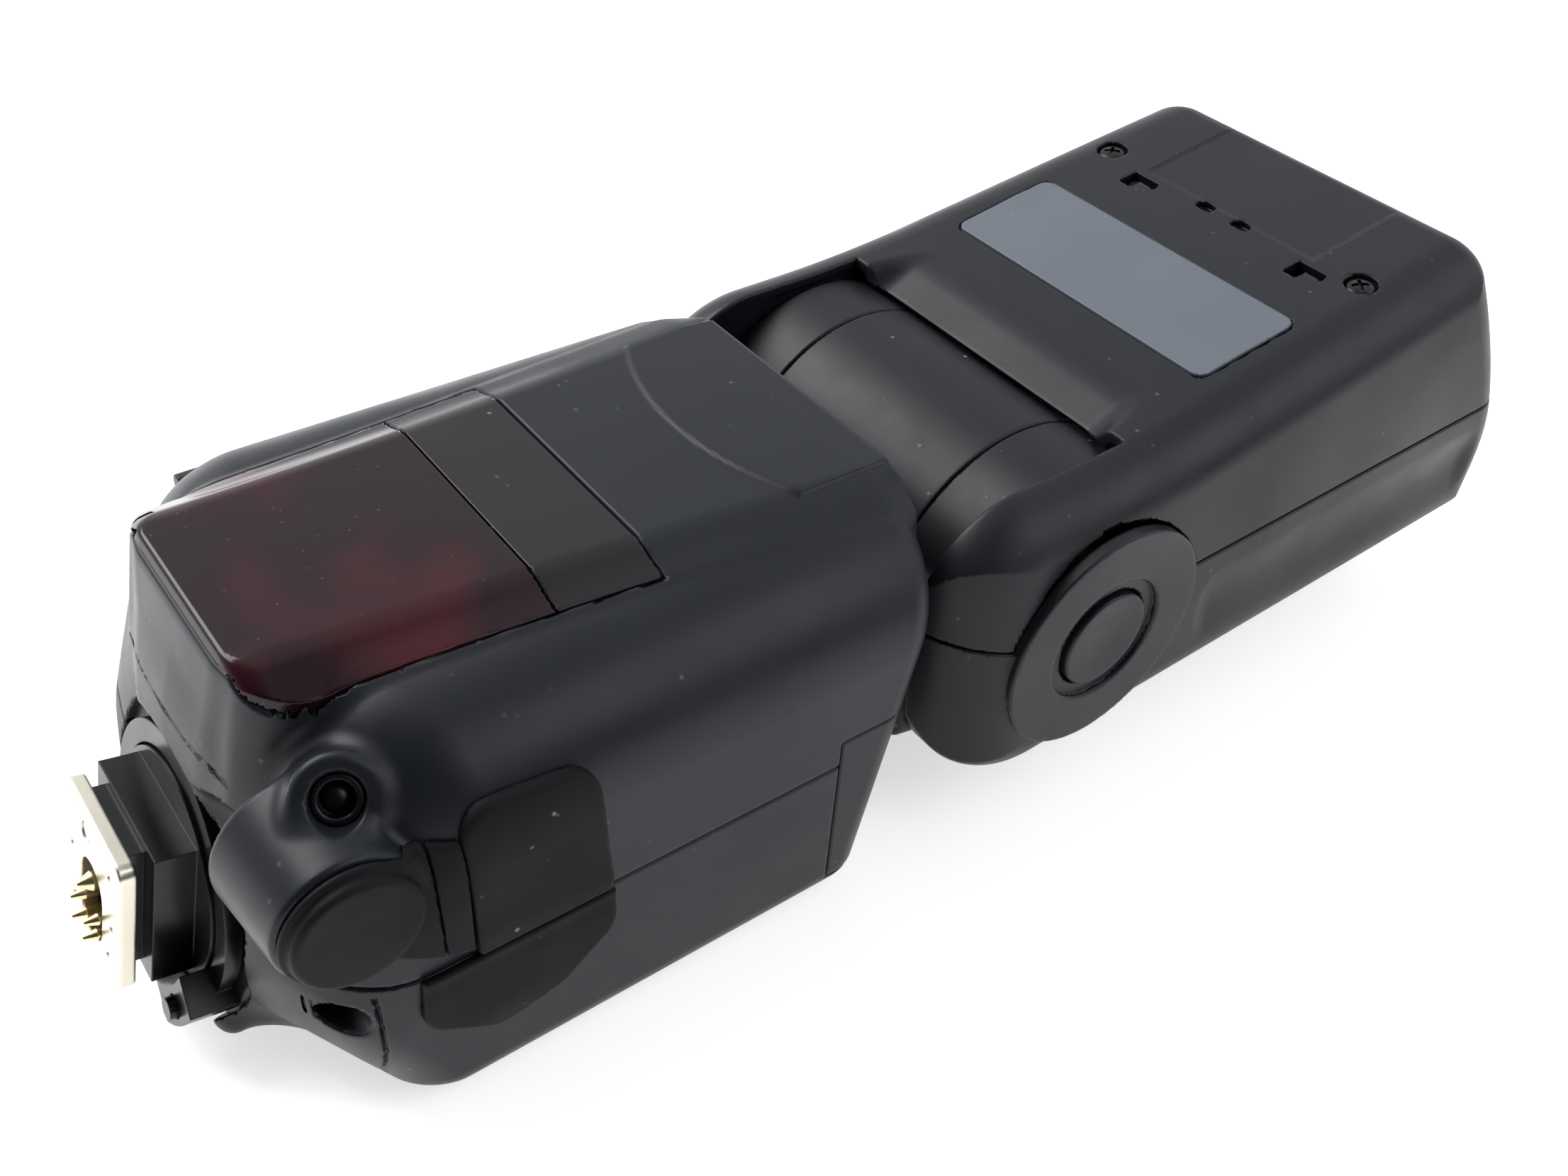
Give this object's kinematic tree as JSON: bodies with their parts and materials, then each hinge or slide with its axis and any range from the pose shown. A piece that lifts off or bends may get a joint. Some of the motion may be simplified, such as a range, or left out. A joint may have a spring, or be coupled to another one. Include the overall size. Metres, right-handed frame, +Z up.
{
  "type": "speedlight flash",
  "caption": "Shoe-mounted speedlight flash with a tilting and swivelling head, zoom reflector, pull-out panels, locking foot, control keys and battery door.",
  "frame": {"origin": "middle of the base of the bounding box, on the surface the flash lies on", "axes": "+X from the shoe foot to the light opening, +Y towards the battery door, +Z up, out of the red front window; the control panel faces down"},
  "size_m": [0.2222, 0.079, 0.062],
  "materials": {
    "body_plastic": "fine matt, slightly blue-black",
    "head_plastic": "fine matt",
    "turret_plastic": "matt with fine dust",
    "window_red": "clear deep red, glossy",
    "window_dark": "near-black, glossy",
    "cover_rubber": "soft matt rubber",
    "lens_clear": "clear moulded",
    "foot_metal": "plated, lightly worn",
    "spring_metal": "bright",
    "contact_gold": "gold-plated",
    "black_gloss": "black, satin gloss",
    "label_grey": "fine satin grey",
    "key_grey": "matt dark grey",
    "key_orange": "matt orange",
    "screen_glass": "clear cover",
    "screen_back": "grey-green display",
    "board_green": "solder-masked board",
    "cap_sleeve": "sleeved can",
    "cell_jacket": "printed cell sleeve, no marks",
    "reflector_metal": "bright",
    "card_white": "white card"
  },
  "bodies": {
    "body": {"front_shell": "body_plastic", "rear_shell": "body_plastic", "base_plate": "body_plastic", "af_window": "window_red", "sensor_panel": "window_dark", "front_badge": "body_plastic", "metering_lens": "black_gloss", "pc_socket": "contact_gold", "power_socket": "black_gloss", "bracket_insert": "spring_metal", "rear_corner_panel": "body_plastic", "power_cover_anchor": "cover_rubber", "lcd_window": "screen_glass", "lcd_module": "screen_back", "main_board": "board_green", "main_capacitor": "cap_sleeve", "battery_case": "black_gloss", "battery_cells": "cell_jacket", "battery_contacts": "spring_metal", "foot_block": "black_gloss", "hot_shoe_foot": "foot_metal", "swivel_ring": "spring_metal"},
    "pc_cap": {"pc_cap": "cover_rubber"},
    "power_cover": {"power_cover": "cover_rubber"},
    "battery_door": {"battery_door": "body_plastic", "door_contacts": "spring_metal"},
    "door_lock": {"door_lock": "black_gloss"},
    "lock_lever": {"lock_lever": "black_gloss"},
    "lock_pin": {"lock_pin": "spring_metal"},
    "lever_release": {"lever_release": "black_gloss"},
    "contact_pins": {"contact_pins": "contact_gold"},
    "function_button_1": {"function_button_1": "key_grey"},
    "function_button_2": {"function_button_2": "key_grey"},
    "function_button_3": {"function_button_3": "key_grey"},
    "function_button_4": {"function_button_4": "key_grey"},
    "wireless_button": {"wireless_button": "key_grey"},
    "lamp_button": {"lamp_button": "key_orange"},
    "select_dial": {"select_dial": "key_grey"},
    "set_button": {"set_button": "key_grey"},
    "power_switch": {"power_switch": "key_grey"},
    "turret": {"turret_drum": "turret_plastic", "turret_cheeks": "turret_plastic", "tilt_axles": "spring_metal"},
    "head": {"head_front_shell": "head_plastic", "head_rear_shell": "head_plastic", "label_plate": "label_grey", "left_pivot_cover": "head_plastic", "right_pivot_cover": "head_plastic", "head_screws": "black_gloss", "lens_frame": "black_gloss", "fresnel_lens": "lens_clear", "zoom_motor": "spring_metal", "head_board": "board_green"},
    "tilt_release": {"tilt_release": "head_plastic"},
    "wide_panel": {"wide_panel": "lens_clear"},
    "catchlight_card": {"catchlight_card": "card_white"},
    "zoom_carriage": {"reflector": "reflector_metal", "flash_tube": "lens_clear"},
    "lead_screw": {"lead_screw": "spring_metal"}
  },
  "joints": [
    {"name": "swivel", "type": "hinge", "parent": "body", "child": "turret", "pos_m": [0.01751, 0, 0.0279], "axis": [0.9781, 0, -0.2079], "range_deg": [-180, 180]},
    {"name": "head_tilt", "type": "hinge", "parent": "turret", "child": "head", "pos_m": [0.01751, 0, 0.0279], "axis": [0, -1, 0], "range_deg": [-14.5, 82.5]},
    {"name": "tilt_release_press", "type": "slide", "parent": "head", "child": "tilt_release", "axis": [0, 1, 0], "range_m": [0, 0.0012], "stiffness_N_per_m": 800},
    {"name": "wide_panel_slide", "type": "slide", "parent": "head", "child": "wide_panel", "axis": [0.999, 0, 0.0436], "range_m": [0, 0.038]},
    {"name": "catchlight_slide", "type": "slide", "parent": "head", "child": "catchlight_card", "axis": [0.999, 0, 0.0436], "range_m": [0, 0.038]},
    {"name": "zoom_slide", "type": "slide", "parent": "head", "child": "zoom_carriage", "axis": [0.999, 0, 0.0436], "range_m": [0, 0.018]},
    {"name": "screw_spin", "type": "hinge", "parent": "head", "child": "lead_screw", "pos_m": [0.06802, -0.02, 0.01729], "axis": [0.999, 0, 0.0436], "range_deg": [0, 1080]},
    {"name": "battery_door_swing", "type": "hinge", "parent": "body", "child": "battery_door", "pos_m": [0, 0.0344, 0.0456], "axis": [1, 0, 0], "range_deg": [0, 95]},
    {"name": "door_lock_slide", "type": "slide", "parent": "battery_door", "child": "door_lock", "axis": [-1, 0, 0], "range_m": [0, 0.004]},
    {"name": "sync_cap_fold", "type": "hinge", "parent": "body", "child": "pc_cap", "pos_m": [-0.08109, -0.03705, 0.0392], "axis": [0, 0, 1], "range_deg": [0, 110], "stiffness_Nm_per_rad": 0.004},
    {"name": "power_cover_fold", "type": "hinge", "parent": "body", "child": "power_cover", "pos_m": [-0.06889, -0.03795, 0.0262], "axis": [1, 0, 0], "range_deg": [0, 100], "stiffness_Nm_per_rad": 0.004},
    {"name": "lever_swing", "type": "hinge", "parent": "body", "child": "lock_lever", "pos_m": [-0.10799, 0, 0.0215], "axis": [0.9781, 0, -0.2079], "range_deg": [0, 80]},
    {"name": "lever_release_press", "type": "slide", "parent": "lock_lever", "child": "lever_release", "axis": [0.9781, 0, -0.2079], "range_m": [0, 0.0008], "stiffness_N_per_m": 600},
    {"name": "lock_pin_slide", "type": "slide", "parent": "body", "child": "lock_pin", "axis": [-0.9781, 0, 0.2079], "range_m": [0, 0.0015]},
    {"name": "contact_pins_press", "type": "slide", "parent": "body", "child": "contact_pins", "axis": [0.9781, 0, -0.2079], "range_m": [0, 0.0015], "stiffness_N_per_m": 700},
    {"name": "function_button_1_press", "type": "slide", "parent": "body", "child": "function_button_1", "axis": [0, 0, 1], "range_m": [0, 0.0006], "stiffness_N_per_m": 600},
    {"name": "function_button_2_press", "type": "slide", "parent": "body", "child": "function_button_2", "axis": [0, 0, 1], "range_m": [0, 0.0006], "stiffness_N_per_m": 600},
    {"name": "function_button_3_press", "type": "slide", "parent": "body", "child": "function_button_3", "axis": [0, 0, 1], "range_m": [0, 0.0006], "stiffness_N_per_m": 600},
    {"name": "function_button_4_press", "type": "slide", "parent": "body", "child": "function_button_4", "axis": [0, 0, 1], "range_m": [0, 0.0006], "stiffness_N_per_m": 600},
    {"name": "wireless_button_press", "type": "slide", "parent": "body", "child": "wireless_button", "axis": [0, 0, 1], "range_m": [0, 0.0006], "stiffness_N_per_m": 600},
    {"name": "lamp_button_press", "type": "slide", "parent": "body", "child": "lamp_button", "axis": [0, 0, 1], "range_m": [0, 0.0006], "stiffness_N_per_m": 600},
    {"name": "set_button_press", "type": "slide", "parent": "body", "child": "set_button", "axis": [0, 0, 1], "range_m": [0, 0.0006], "stiffness_N_per_m": 600},
    {"name": "select_dial_turn", "type": "hinge", "parent": "body", "child": "select_dial", "pos_m": [-0.07099, 0, 0.002], "axis": [0, 0, 1], "continuous": true},
    {"name": "power_switch_turn", "type": "hinge", "parent": "body", "child": "power_switch", "pos_m": [-0.08099, -0.023, 0.002], "axis": [0, 0, 1], "range_deg": [-30, 30]}
  ],
  "couplings": [
    {"joint": "screw_spin", "follows": "zoom_slide", "rad_per_m": 1047.2},
    {"joint": "lever_swing", "follows": "lock_pin_slide", "rad_per_m": 930.84}
  ]
}
